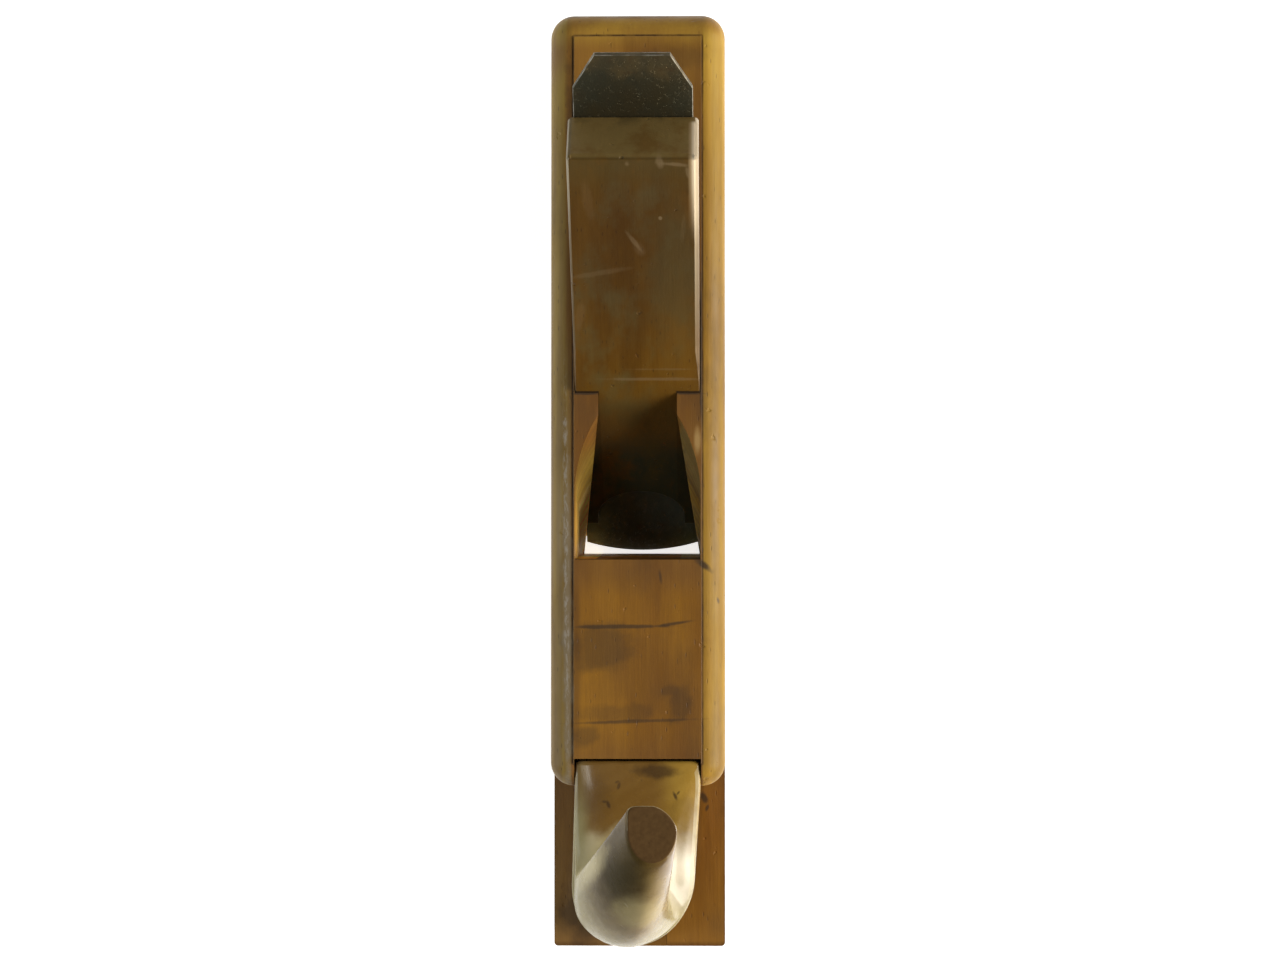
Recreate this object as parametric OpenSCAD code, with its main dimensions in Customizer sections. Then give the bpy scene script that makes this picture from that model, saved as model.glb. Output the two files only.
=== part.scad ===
/* [Stock] */
// Length of the stock from toe to heel
stock_l = 240; // [220:1:300]
// Width of the stock
stock_w = 44.5; // [42:0.5:60]
// Height of the stock from the sole to the flat field
stock_h = 60; // [56:1:70]
// Height of the stepped-down toe deck above the sole
deck_h = 35; // [30:1:42]
// Length of the toe deck in front of the rail ends
deck_l = 43; // [42:1:60]
// Width of the moulded upper edge, and radius of the heel's upright corners
edge_r = 6; // [4:0.5:6]
// Depth of the quirk, the small step between the flat field and the round-over
quirk_d = 0.5; // [0.3:0.1:1]
// Width of the quirk's flat floor
quirk_w = 0.5; // [0.3:0.1:1]
// Radius of the toe's upright corners
toe_r = 1; // [0.5:0.5:2]

/* [Throat] */
// Width of the throat and of the bed
throat_w = 32; // [31:0.5:36]
// Angle of the bed above the sole
bed_angle = 45; // [43:1:50]
// Distance from the middle of the stock forward to the cutting edge
edge_fwd = 16.8; // [5:0.1:30]
// Height of the cutting edge above the sole as stored
edge_lift = 0.2; // [0:0.1:0.5]
// Gap between the cutting edge and the front of the mouth
mouth_gap = 1; // [0.8:0.1:3]
// How far the throat's front wall leans forward over its height
front_lean = 1.5; // [0:0.1:6]
// How far each abutment stands out from the throat's side at the top
abut_w = 6; // [4:0.5:8]
// Length of each abutment's inner side at the top, along the stock
abut_l = 4; // [3:0.5:8]
// Height above the sole where the abutments have tapered away
abut_end = 3; // [2:0.5:8]
// Length of each abutment and its scooped cheek at the top, along the stock
cheek_l = 25; // [16:1:28]

/* [Iron] */
// Length of the iron from cutting edge to top
iron_l = 166; // [150:1:190]
// Width of the iron at the cutting edge
iron_w = 30; // [26:0.5:30.5]
// Width of the iron at its top
iron_top_w = 28.8; // [24:0.1:30]
// Thickness of the iron
iron_t = 2.8; // [2.5:0.1:4.5]
// Length of each clipped top corner along the iron
clip_l = 9.8; // [4:0.1:14]
// Width of each clipped top corner across the iron
clip_w = 5.3; // [3:0.1:8]
// Chamfer on the back of the iron's struck end and clipped corners
iron_chamfer = 1.6; // [0.5:0.1:1.8]
// Radius of the cambered cutting edge
camber_r = 38; // [30:1:80]
// Angle of the ground bevel
bevel_angle = 30; // [25:1:35]
// Thickness of the hard steel plate welded to the iron's face
steel_t = 1; // [0.6:0.1:1.5]
// Length of the steel plate up from the cutting edge
steel_l = 95; // [60:1:120]

/* [Wedge] */
// Gap between the wedge and each side of the throat
wedge_gap = 0.2; // [0.1:0.05:0.4]
// Thickness of the wedge where it leaves the throat
wedge_t = 14.1; // [13:0.1:18]
// Thickness of the wedge at its struck end
wedge_end_t = 15.4; // [12:0.1:20]
// Taper of the wedge inside the throat
wedge_angle = 11; // [9:0.5:12]
// Distance along the bed from the cutting edge to the wedge's struck end
wedge_top = 147.7; // [120:0.1:160]
// Distance along the bed from the cutting edge to the prong ends
prong_end = 13; // [11:0.5:20]
// Height above the stock's top at which the wedge's front turns parallel
kink_rise = 2; // [1:0.5:6]
// Width of the arch cut into the wedge's lower end
arch_w = 23; // [16:0.5:25]
// Length of the arch from prong ends to its crown
arch_l = 14.5; // [13:0.5:20]
// Chamfer on the front edges of the wedge's upper part
wedge_chamfer = 1.2; // [0.6:0.1:2]
// Radius of the rounded corners at the struck end
wedge_corner_r = 1.2; // [0.4:0.1:6]

/* [Horn] */
// Width of the horn's base
horn_w = 32; // [28:0.5:32]
// Gap between the horn's base and each rail
horn_gap = 0.1; // [0.05:0.05:0.3]
// Open seam between the horn's back face and the stock
horn_seam = 0.5; // [0.2:0.1:1]
// How far the rails reach forward past the horn's housing
seat_l = 7.2; // [5:0.1:12]
// Length of the horn's base
horn_l = 47; // [46:0.1:49]
// Distance from the base's back face to its widest place
belly_l = 30; // [26:0.5:32]
// Width of the horn at its belly
belly_w = 31.2; // [28:0.1:34]
// Sideways shift of the belly
belly_shift = 1.1; // [0:0.1:2]
// Rounding of the base's upper rim at the back
rim_r = 1.2; // [0.6:0.1:4]
// Distance from the back face to the root of the shaft
root_l = 13; // [11:0.5:15]
// Height of the horn's tip above the stock's top
horn_rise = 45; // [35:1:55]
// Width of the cut tip
tip_w = 12.8; // [9:0.1:16]
// Length of the cut tip
tip_l = 13.7; // [10:0.1:17]
// Sideways lean of the tip
tip_lean = 4.8; // [0:0.1:8]
// Distance from the base's back face forward to the back of the tip
tip_back = 8.4; // [4:0.1:12]
// Hollow of the shaft's back between root and tip
back_hollow = 2.2; // [0:0.1:4]
// Distance from the horn's middle to the right side of its waist
waist_r = 6.3; // [5:0.1:8]
// Width of the dovetail key at the deck
key_neck_w = 14; // [10:0.5:18]
// Width of the dovetail key at its foot
key_foot_w = 18; // [14:0.5:22]
// Depth of the dovetail key below the deck
key_d = 8; // [6:0.5:12]
// Distance from the horn's back face to the key's closed end
key_inset = 4; // [2:0.5:10]

/* [Hidden] */

// How far a cutting shape runs past the face it cuts
over = 2;
// Smoothness of the true round surfaces
$fn = 96;

// Stock
toe_y = -stock_l / 2;
heel_y = stock_l / 2;
rail_end_y = toe_y + deck_l;
block_y = rail_end_y + seat_l;
field_x = stock_w / 2 - edge_r;
round_top = stock_h - quirk_d;

// Bed frame: origin at the middle of the cutting edge, Y up the bed, Z out of the bed
edge_y = -edge_fwd;
front_slope = bed_angle + wedge_angle;
out_v = (stock_h - edge_lift - wedge_t * cos(bed_angle)) / sin(bed_angle);
kink_v = out_v + kink_rise / (sin(bed_angle) + tan(wedge_angle) * cos(bed_angle));
abut_y = edge_y + out_v * cos(bed_angle) - wedge_t * sin(bed_angle);
mouth_y = edge_y - mouth_gap;
low_v = -3 * iron_t;
wedge_w = throat_w - 2 * wedge_gap;

// Scooped cheeks: round cuts that run parallel to the wedge's front
cheek_chord = (cheek_l - abut_l) * sin(front_slope);
cheek_r = (pow(cheek_chord, 2) + pow(abut_w, 2)) / (2 * abut_w);
cheek_y = abut_y - cheek_l;
slope_run = 1 / tan(front_slope);
taper_run = abut_w / (stock_h - abut_end);

// Horn
horn_back_y = block_y - horn_seam;
belly_y = horn_back_y - belly_l;
horn_front_y = horn_back_y - horn_l;
tip_back_y = horn_back_y - tip_back;
tip_mid_y = tip_back_y - 0.35 * tip_l;
root_y = horn_back_y - root_l;
// Share of the shaft's height over which the saddle sweeps up into the shaft
saddle_share = 0.08;
// Fullness of the outlines: 2 is an ellipse, more is squarer, less is leaner
base_back_full = 14;
base_front_full = 2;
root_back_full = 1.35;
tip_full = 2.1;
// Heights of the horn's sections, as shares of the base's and of the shaft's height
base_levels = [0, 0.35, 0.7];
rim_angles = [0, 25, 50, 72];
shaft_levels = [0, 0.012, 0.03, 0.055, 0.09, 0.14, 0.2, 0.28, 0.37, 0.47, 0.58, 0.69, 0.8, 0.9, 0.96, 1];
horn_points = 40;

// Thickness of the wedge, inside the throat, at distance v up the bed
function front_t(v) = wedge_t + (v - out_v) * tan(wedge_angle);
// Place of the bed and of the throat's front wall at height z
function bed_y(z) = edge_y + iron_t / sin(bed_angle) + (z - edge_lift) / tan(bed_angle);
function wall_y(z) = mouth_y - front_lean * z / stock_h;
function mix(a, b, s) = a + (b - a) * s;
function clamp01(s) = min(1, max(0, s));

// One horn section: middle with the belly's shift and slimness, reach to the left, right, back and front,
// fullness back and front, height
function section(mid, left, right, back, front, full_b, full_f, z) = [
    for (i = [0:horn_points - 1])
        let (
            a = i * 360 / horn_points,
            full = sin(a) >= 0 ? full_b : full_f,
            reach_x = cos(a) < 0 ? left : right,
            reach_y = sin(a) >= 0 ? back : front,
            x = reach_x * sign(cos(a)) * pow(abs(cos(a)), 2 / full),
            y = mid[1] + reach_y * sign(sin(a)) * pow(abs(sin(a)), 2 / full),
            share = (rail_end_y - y) / (rail_end_y - belly_y)
        )
        [mid[0] + x * mix(1, mid[3], clamp01(share)) + mid[2] * max(0, share), y, z]
];

// A section of the base, drawn in by inset at the back
function base_section(z, inset) = section(
    [0, belly_y, -belly_shift, belly_w / horn_w],
    horn_w / 2 - inset / 2, horn_w / 2 - inset / 2,
    horn_back_y - inset - belly_y, belly_y - horn_front_y - inset / 4,
    base_back_full, base_front_full, z
);

// A section of the shaft at share s of its height
function shaft_section(s) =
    let (
        flare = pow(1 - s, 8),
        mid_x = mix(0, tip_lean, s),
        mid_y = mix(belly_y, tip_mid_y, pow(s, 0.6)),
        left_x = mix(rim_r / 2 - horn_w / 2, tip_lean - tip_w / 2, pow(s, 1.2)),
        right_x = mix(mix(waist_r, tip_lean + tip_w / 2, s), horn_w / 2 - rim_r / 2, flare),
        saddle = pow(1 - clamp01(s / saddle_share), 2),
        rim_y = horn_back_y - rim_r,
        shaft_y = mix(root_y, tip_back_y, s) - back_hollow * sin(180 * s),
        back_y = mix(shaft_y, rim_y, saddle),
        front_y = mix(horn_front_y + rim_r / 4, tip_back_y - tip_l, pow(s, 2.2)),
        back_full = mix(mix(root_back_full, tip_full, s), base_back_full, pow(saddle, 2)),
        front_full = mix(base_front_full, tip_full, s)
    )
    section(
        [mid_x, mid_y, -belly_shift * (1 - s), mix(belly_w / horn_w, 1, s)],
        mid_x - left_x, right_x - mid_x,
        back_y - mid_y, mid_y - front_y,
        back_full, front_full, stock_h + s * horn_rise
    );

// Runs children along the bed frame
module on_bed() {
    translate([0, edge_y, edge_lift]) rotate([bed_angle, 0, 0]) children();
}

// Extrudes an outline drawn as [Y, Z] across the stock
module across(width) {
    rotate([90, 0, 90]) linear_extrude(width, center = true) children();
}

// Extrudes an outline drawn as [X, Z] along the stock from y0 forward over length
module along(y0, length) {
    translate([0, y0, 0]) rotate([90, 0, 0]) linear_extrude(length) children();
}

// Half section of the moulded edge, from the field's border outward
module edge_profile() {
    r = edge_r - quirk_w;
    square([quirk_w, round_top]);
    square([edge_r, round_top - r]);
    intersection() {
        translate([quirk_w, round_top - r]) circle(r);
        square([edge_r, round_top]);
    }
}

// A round corner of the moulded edge
module edge_corner(x, y) {
    translate([x, y, 0]) rotate_extrude() edge_profile();
}

module toe_deck() {
    x = stock_w / 2;
    linear_extrude(deck_h) {
        translate([-x, toe_y + toe_r]) square([stock_w, deck_l + seat_l]);
        translate([toe_r - x, toe_y]) square([stock_w - 2 * toe_r, deck_l]);
        for (side = [-1, 1]) translate([side * (x - toe_r), toe_y + toe_r]) circle(toe_r);
    }
}

module stock_body() {
    back_y = heel_y - edge_r;
    front_y = rail_end_y + edge_r;
    toe_deck();
    translate([-field_x, front_y, 0]) cube([2 * field_x, back_y - front_y, stock_h]);
    for (side = [0, 1]) mirror([side, 0, 0]) {
        along(back_y, back_y - front_y) translate([field_x, 0]) edge_profile();
        edge_corner(field_x, back_y);
        edge_corner(field_x, front_y);
    }
    translate([0, back_y, 0]) across(2 * field_x) edge_profile();
}

module horn_housing() {
    half = horn_w / 2 + horn_gap;
    length = block_y - toe_y + over;
    translate([-half, toe_y - over, deck_h]) cube([2 * half, length, stock_h]);
}

// Outline of the dovetail key, grown on every side by gap
module key_outline(gap) {
    foot_z = deck_h - key_d - gap;
    polygon([
        [-key_neck_w / 2 - gap, deck_h], [key_neck_w / 2 + gap, deck_h],
        [key_foot_w / 2 + gap, foot_z], [-key_foot_w / 2 - gap, foot_z]
    ]);
}

// Round cut that leaves the scooped cheek on one side
module cheek_cut(side) {
    run = [-side * taper_run, slope_run, 1];
    tilt = acos(1 / norm(run));
    turn = atan2(run[1], run[0]);
    length = 4 * stock_h;
    translate([side * (throat_w / 2 - cheek_r), cheek_y, stock_h]) rotate([0, tilt, turn])
        cylinder(length, cheek_r, cheek_r, center = true);
}

// Space between the abutments, widening downward until it is as wide as the throat
module between_abutments() {
    top_z = stock_h + over;
    top_half = throat_w / 2 - taper_run * (top_z - abut_end);
    low_half = throat_w / 2 + taper_run * (over + abut_end);
    along(heel_y, stock_l) polygon([
        [-low_half, -over], [low_half, -over], [top_half, top_z], [-top_half, top_z]
    ]);
}

// Space in front of the cheeks
module before_cheeks() {
    top_z = stock_h + over;
    low_y = cheek_y - top_z * slope_run;
    across(throat_w + 2 * over) polygon([
        [toe_y, -over], [low_y, -over], [cheek_y + over * slope_run, top_z], [toe_y, top_z]
    ]);
}

// The two abutments with their cheeks; their rear faces lie on the wedge's front
module abutments() {
    top_v = kink_v + over;
    difference() {
        on_bed() across(throat_w + 2 * over) polygon([
            [low_v, front_t(low_v)], [top_v, front_t(top_v)], [top_v, stock_h], [low_v, stock_h]
        ]);
        between_abutments();
        before_cheeks();
        intersection() {
            cheek_cut(1);
            cheek_cut(-1);
        }
    }
}

// The whole opening, from the throat's front wall back to the bed, around the abutments
module throat() {
    top_z = stock_h + over;
    difference() {
        across(throat_w) polygon([
            [wall_y(-over), -over], [bed_y(-over), -over], [bed_y(top_z), top_z], [wall_y(top_z), top_z]
        ]);
        abutments();
    }
}

module stock() {
    slot_l = horn_back_y - key_inset + horn_gap - toe_y + over;
    color("peru") difference() {
        stock_body();
        horn_housing();
        along(toe_y - over + slot_l, slot_l) key_outline(horn_gap);
        throat();
    }
}

module horn() {
    rim_z = stock_h - rim_r;
    rings = [
        for (s = base_levels) base_section(mix(deck_h, rim_z, s), 0),
        for (a = rim_angles) base_section(rim_z + rim_r * sin(a), rim_r * (1 - cos(a))),
        for (s = shaft_levels) shaft_section(s)
    ];
    last = len(rings) - 1;
    n = horn_points;
    key_l = horn_back_y - key_inset - toe_y;
    sides = [
        for (r = [0:last - 1], i = [0:n - 1])
            let (a = r * n + i, b = r * n + (i + 1) % n)
            each [[a, a + n, b], [b, a + n, b + n]]
    ];
    color("burlywood") {
        polyhedron(
            points = [for (ring = rings) each ring],
            faces = concat(sides, [[for (i = [0:n - 1]) i]], [[for (i = [0:n - 1]) last * n + n - 1 - i]])
        );
        along(toe_y + key_l, key_l) key_outline(0);
    }
}

// Removes a chamfer along both front edges of the wedge's upper part
module wedge_chamfers() {
    climb = atan((wedge_end_t - front_t(kink_v)) / (wedge_top - kink_v));
    length = wedge_top;
    side = wedge_chamfer * sqrt(2);
    for (x = [-1, 1])
        translate([x * wedge_w / 2, kink_v, front_t(kink_v)]) rotate([climb, 0, 0])
            rotate([0, 45, 0]) translate([-side / 2, 0, -side / 2]) cube([side, length, side]);
}

// Removes the corners of the struck end, seen square to the bed
module wedge_corners() {
    r = wedge_corner_r;
    for (x = [0, 1]) mirror([x, 0, 0])
        translate([wedge_w / 2 - r, wedge_top - r, -over]) difference() {
            cube([2 * r, 2 * r, wedge_end_t + 2 * over]);
            cylinder(wedge_end_t + 2 * over, r, r);
        }
}

// Arch between the wedge's two prongs
module wedge_arch() {
    r = arch_w / 2;
    crown_v = prong_end + arch_l;
    depth = wedge_t + 2 * over;
    translate([0, crown_v - r, -over]) cylinder(depth, r, r);
    translate([-r, prong_end - over, -over]) cube([arch_w, arch_l - r + over, depth]);
}

module wedge() {
    color("saddlebrown") on_bed() difference() {
        across(wedge_w) polygon([
            [prong_end, 0], [prong_end, front_t(prong_end)], [kink_v, front_t(kink_v)],
            [wedge_top, wedge_end_t], [wedge_top, 0]
        ]);
        wedge_arch();
        wedge_chamfers();
        wedge_corners();
    }
}

// Room taken off the back edge of the iron's end, with the edge along X at the origin
module back_bevel() {
    c = iron_chamfer;
    across(2 * iron_w) polygon([
        [-c - over, -iron_t - over], [over, c + over - iron_t], [over, -iron_t - over]
    ]);
}

// The whole iron in the bed frame: a tapered plate, clipped at the top and ground to a cambered bevel
module iron_blank() {
    bevel_l = iron_t / tan(bevel_angle);
    back_r = camber_r - bevel_l;
    difference() {
        translate([0, 0, -iron_t]) linear_extrude(iron_t) polygon([
            [-iron_w / 2, 0], [iron_w / 2, 0], [iron_top_w / 2, iron_l - clip_l],
            [iron_top_w / 2 - clip_w, iron_l], [clip_w - iron_top_w / 2, iron_l],
            [-iron_top_w / 2, iron_l - clip_l]
        ]);
        difference() {
            translate([-iron_w, -over, -iron_t]) cube([2 * iron_w, camber_r / 2 + over, iron_t]);
            translate([0, camber_r, -iron_t]) cylinder(iron_t, back_r, camber_r);
        }
        translate([0, iron_l, 0]) back_bevel();
        for (x = [0, 1]) mirror([x, 0, 0]) translate([iron_top_w / 2, iron_l - clip_l, 0])
            rotate([0, 0, -atan2(clip_l, clip_w)]) back_bevel();
    }
}

// Room of the steel plate on the iron's face
module steel_room() {
    translate([-iron_w, -over, -steel_t]) cube([2 * iron_w, steel_l + over, steel_t]);
}

module iron_body() {
    color("dimgray") on_bed() difference() {
        iron_blank();
        steel_room();
    }
}

module iron_steel() {
    color("slategray") on_bed() intersection() {
        iron_blank();
        steel_room();
    }
}

stock();
horn();
wedge();
iron_body();
iron_steel();
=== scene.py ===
import math
import bmesh
import bpy
from mathutils import Matrix, Vector


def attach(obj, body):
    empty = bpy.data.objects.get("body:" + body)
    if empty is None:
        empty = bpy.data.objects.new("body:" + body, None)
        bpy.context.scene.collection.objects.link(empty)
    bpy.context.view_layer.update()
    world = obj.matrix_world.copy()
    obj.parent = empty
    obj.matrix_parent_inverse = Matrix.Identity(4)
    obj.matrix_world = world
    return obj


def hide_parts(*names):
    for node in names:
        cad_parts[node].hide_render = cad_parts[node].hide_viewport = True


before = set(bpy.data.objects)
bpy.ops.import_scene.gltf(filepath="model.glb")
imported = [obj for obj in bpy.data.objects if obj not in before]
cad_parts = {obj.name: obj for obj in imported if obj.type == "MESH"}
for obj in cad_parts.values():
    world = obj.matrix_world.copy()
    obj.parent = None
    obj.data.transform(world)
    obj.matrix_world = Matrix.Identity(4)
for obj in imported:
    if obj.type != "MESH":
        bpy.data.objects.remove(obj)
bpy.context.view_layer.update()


# Camera. The plane lies on its sole under a camera that looks down from 850 mm above the stock, beside and a
# little forward of the plane's middle, and tilted by just over a degree each way, which centres the plane.
stock_top = 0.060
camera_above_stock = 0.850
camera_foot = (0.01967, -0.01685)
image_size = (1280, 960)
foot_pixel = (715, 550)
pixels_per_length = 3349

camera = bpy.data.cameras.new("camera")
camera.sensor_fit = "HORIZONTAL"
camera.sensor_width = 36
camera.lens = camera.sensor_width * pixels_per_length / image_size[0]
camera.clip_start = 0.05
camera_stand = bpy.data.objects.new("camera", camera)
sight = Vector(((image_size[0] / 2 - foot_pixel[0]) / pixels_per_length,
                (foot_pixel[1] - image_size[1] / 2) / pixels_per_length, -1)).normalized()
rightward = Vector((0, 1, 0)).cross(-sight).normalized()
upward = (-sight).cross(rightward)
camera_stand.matrix_world = Matrix.Translation((*camera_foot, stock_top + camera_above_stock)) @ Matrix(
    (rightward, upward, -sight)).transposed().to_4x4()
bpy.context.scene.collection.objects.link(camera_stand)
bpy.context.scene.camera = camera_stand


# Floor and lights. A pale table lit from inside, so the open mouth shows bright, in a dim room that pales
# toward the floor. A large soft light stands low on the right, weaker ones on the left and at the toe, and a
# small one hangs high on the left.
floor_half, floor_below_sole = 3.0, 0.0003
lights_aim = Vector((0, -0.02, 0.05))


def put(tree, kind, wires, **settings):
    """A new shader node, its inputs wired to sockets or set to values."""
    made = tree.nodes.new("ShaderNode" + kind)
    for setting, value in settings.items():
        setattr(made, setting, value)
    for socket, value in wires.items():
        if isinstance(value, bpy.types.NodeSocket):
            tree.links.new(value, made.inputs[socket])
        else:
            made.inputs[socket].default_value = value
    return made


def ramp(value, low, high, start=0.0, end=1.0):
    """An eased change from start to end, while the value goes from low to high."""
    return put(value.id_data, "MapRange", {0: value, 1: low, 2: high, 3: start, 4: end},
               interpolation_type="SMOOTHSTEP").outputs[0]


def soft_light(name, place, size, power, colour):
    lamp = bpy.data.lights.new(name, "AREA")
    lamp.shape = "RECTANGLE"
    lamp.size, lamp.size_y = size
    lamp.energy = power
    lamp.color = colour
    stand = bpy.data.objects.new(name, lamp)
    stand.location = place
    stand.rotation_euler = (lights_aim - stand.location).to_track_quat("-Z", "Y").to_euler()
    stand.visible_camera = False
    bpy.context.scene.collection.objects.link(stand)


bpy.context.scene.view_settings.view_transform = "Standard"
room = bpy.data.worlds.new("room")
room.use_nodes = True
direction = put(room.node_tree, "TexCoord", {}).outputs["Generated"]
above_floor = put(room.node_tree, "SeparateXYZ", {0: direction}).outputs["Z"]
wall_light = room.node_tree.nodes["Background"]
wall_light.inputs["Color"].default_value = (0.95, 0.98, 1, 1)
room.node_tree.links.new(ramp(above_floor, 0.0, 0.45, 0.42, 0.13), wall_light.inputs["Strength"])
bpy.context.scene.world = room

floor_mesh = bpy.data.meshes.new("floor")
floor_mesh.from_pydata([(x * floor_half, y * floor_half, -floor_below_sole)
                        for x, y in ((-1, -1), (1, -1), (1, 1), (-1, 1))], [], [(0, 1, 2, 3)])
floor = bpy.data.objects.new("floor", floor_mesh)
bpy.context.scene.collection.objects.link(floor)
floor_finish = bpy.data.materials.new("floor")
floor_finish.use_nodes = True
floor_shader = floor_finish.node_tree.nodes["Principled BSDF"]
floor_shader.inputs["Base Color"].default_value = (0.86, 0.86, 0.86, 1)
floor_shader.inputs["Roughness"].default_value = 0.9
floor_shader.inputs["Emission Color"].default_value = (1, 1, 1, 1)
floor_shader.inputs["Emission Strength"].default_value = 0.75
floor_mesh.materials.append(floor_finish)

soft_light("right_light", (0.82, -0.05, 0.43), (0.5, 0.6), 14.0, (1, 0.93, 0.82))
soft_light("left_light", (-0.80, -0.10, 0.34), (0.3, 0.5), 2.6, (0.96, 1, 0.97))
soft_light("toe_light", (0.75, -0.55, 0.24), (0.5, 0.3), 1.6, (1, 0.97, 0.86))
soft_light("high_light", (-0.30, -0.125, 0.80), (0.10, 0.16), 0.6, (0.94, 0.95, 0.87))


# Stock. One block of beech with its toe cut down to a deck, rails left on both sides of the horn, and a
# quirked round-over worked along the top. The throat is chopped from above; years of oil and handling have
# browned it, and the arrises are rubbed smooth.
quirk_x, quirk_heel_y, same_place = 0.01625, 0.1139, 1e-5
quirk_floor_mm, quirk_lip_mm = 59.49, 59.9
quirk_ease, arris_ease, shortest_edge = 0.00015, 0.00040, 2e-5
# the colour of dirt and painted shade in corners
dirt_and_shade = (0.022, 0.013, 0.007)


def merged_copy(node_name):
    """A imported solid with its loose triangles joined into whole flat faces."""
    solid = bmesh.new()
    solid.from_mesh(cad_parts[node_name].data)
    bmesh.ops.remove_doubles(solid, verts=solid.verts, dist=2e-6)
    bmesh.ops.dissolve_limit(solid, angle_limit=math.radians(0.5), verts=solid.verts, edges=solid.edges)
    return solid


def ease_edges(solid, width, chosen):
    """Round the chosen outer arrises, and mark the new faces as rubbed."""
    wear_and_painted_light = solid.faces.layers.float.get("wear_and_painted_light") or solid.faces.layers.float.new("wear_and_painted_light")
    least_turn = math.radians(28)
    edges = [edge for edge in solid.edges
             if edge.is_manifold and chosen(edge) and edge.calc_face_angle_signed(0) > least_turn]
    made = bmesh.ops.bevel(solid, geom=edges, offset=width, offset_type="OFFSET", segments=2,
                           profile=0.5, affect="EDGES", clamp_overlap=True)
    for face in made["faces"]:
        face[wear_and_painted_light] = 1


def finished_piece(name, solid, smooth_under=30):
    """A plain mesh object whose flats stay flat and whose eased edges shade round."""
    mesh = bpy.data.meshes.new(name)
    solid.to_mesh(mesh)
    solid.free()
    mesh.shade_smooth()
    mesh.set_sharp_from_angle(angle=math.radians(smooth_under))
    piece = bpy.data.objects.new(name, mesh)
    bpy.context.scene.collection.objects.link(piece)
    flats = piece.modifiers.new("flats", "WEIGHTED_NORMAL")
    flats.keep_sharp = True
    flats.weight = 80
    seen = piece.evaluated_get(bpy.context.evaluated_depsgraph_get())
    plain = bpy.data.meshes.new_from_object(seen)
    piece.modifiers.clear()
    piece.data = plain
    plain.name = name
    return piece


def new_finish(name):
    """A node material: itself, its shader and the piece's own coordinates in millimetres."""
    finish = bpy.data.materials.new(name)
    finish.use_nodes = True
    own = put(finish.node_tree, "TexCoord", {}).outputs["Object"]
    place = put(finish.node_tree, "VectorMath", {0: own, "Scale": 1000.0}, operation="SCALE").outputs[0]
    return finish, finish.node_tree.nodes["Principled BSDF"], place


def drive(shader, socket, value):
    shader.id_data.links.new(value, shader.inputs[socket])


def relieve(shader, height, depth):
    """Fine relief from a height, its depth in metres."""
    drive(shader, "Normal", put(shader.id_data, "Bump", {"Height": height, "Distance": depth}).outputs[0])


def wear_and_light_marks(shader):
    """How rubbed each face is, as its mesh says; the same mark also places painted highlights on the horn and the
    wedge, and painted shade on the floor of the stock's quirk.
    """
    return put(shader.id_data, "Attribute", {}, attribute_name="wear_and_painted_light").outputs["Fac"]


def directions(place):
    return put(place.id_data, "SeparateXYZ", {0: place}).outputs


def reckon(operation, *terms):
    tree = next(term.id_data for term in terms if isinstance(term, bpy.types.NodeSocket))
    return put(tree, "Math", dict(enumerate(terms)), operation=operation).outputs[0]


def product(first, *others):
    for other in others:
        first = reckon("MULTIPLY", first, other)
    return first


def total(first, *others):
    for other in others:
        first = reckon("ADD", first, other)
    return first


def within(*fades):
    """Where every fade counts: each is a ready mask, or what a ramp takes, such as a measure and its two ends."""
    return product(*(ramp(*fade) if isinstance(fade, tuple) else fade for fade in fades))


def tint(amount, under, over, mode="MIX"):
    """The surface under it with a colour laid over by amount."""
    under, over = ((*colour, 1) if isinstance(colour, tuple) else colour for colour in (under, over))
    return put(amount.id_data, "Mix", {0: amount, 6: under, 7: over}, data_type="RGBA", blend_type=mode).outputs[2]


def toned(surface, tones):
    """The surface made lighter or darker in zones: for each a tone to multiply by, and the fades that bound it."""
    for tone, *fades in tones:
        surface = tint(within(*fades), surface, tone, "MULTIPLY")
    return surface


def mottle(place, size, drawn=(1, 1, 1), detail=3.0, rough=0.55, seed=0):
    """Clouds from 0 to 1 about size millimetres across, drawn out along the axes."""
    spot = put(place.id_data, "Mapping", {"Vector": place, "Scale": [1 / (size * pull) for pull in drawn],
                                          "Location": (seed * 13.7, seed * 7.3 + 1, seed * 3.1 + 2)}).outputs[0]
    return put(place.id_data, "TexNoise", {"Vector": spot, "Scale": 1.0, "Detail": detail,
                                           "Roughness": rough}).outputs[0]


def ragged_edge(place, size, seed):
    """How far a stain's border strays in and out, as a share of its reach."""
    return product(reckon("SUBTRACT", mottle(place, size, detail=4.0, seed=seed), 0.5), 1.6)


def stain(place, ragged, centre, reach, turn=0.0, soft=0.45):
    """Patch from 0 to 1 with a ragged border, its centre and reach in millimetres, turned about Z."""
    local = put(place.id_data, "Mapping", {"Vector": place, "Location": centre, "Scale": reach,
                                           "Rotation": (0, 0, math.radians(turn))}, vector_type="TEXTURE").outputs[0]
    far = put(place.id_data, "VectorMath", {0: local}, operation="LENGTH").outputs["Value"]
    return ramp(total(far, ragged), 1 + soft, 1 - soft)


def stained(surface, colour, place, ragged, patches):
    """The surface with patches of one colour, each with its centre, reach, turn and strength."""
    for centre, reach, turn, strength in patches:
        surface = tint(product(stain(place, ragged, centre, reach, turn), strength), surface, colour)
    return surface


def corner_dirt_and_shade(surface, colour, reach, clean_at, dirty_at, strength):
    """The surface darkened with dirt and painted shade where others stand close to it, within a reach in metres."""
    openness = put(surface.id_data, "AmbientOcclusion", {"Distance": reach}, samples=6).outputs["AO"]
    return tint(ramp(openness, clean_at, dirty_at, 0.0, strength), surface, colour)


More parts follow.
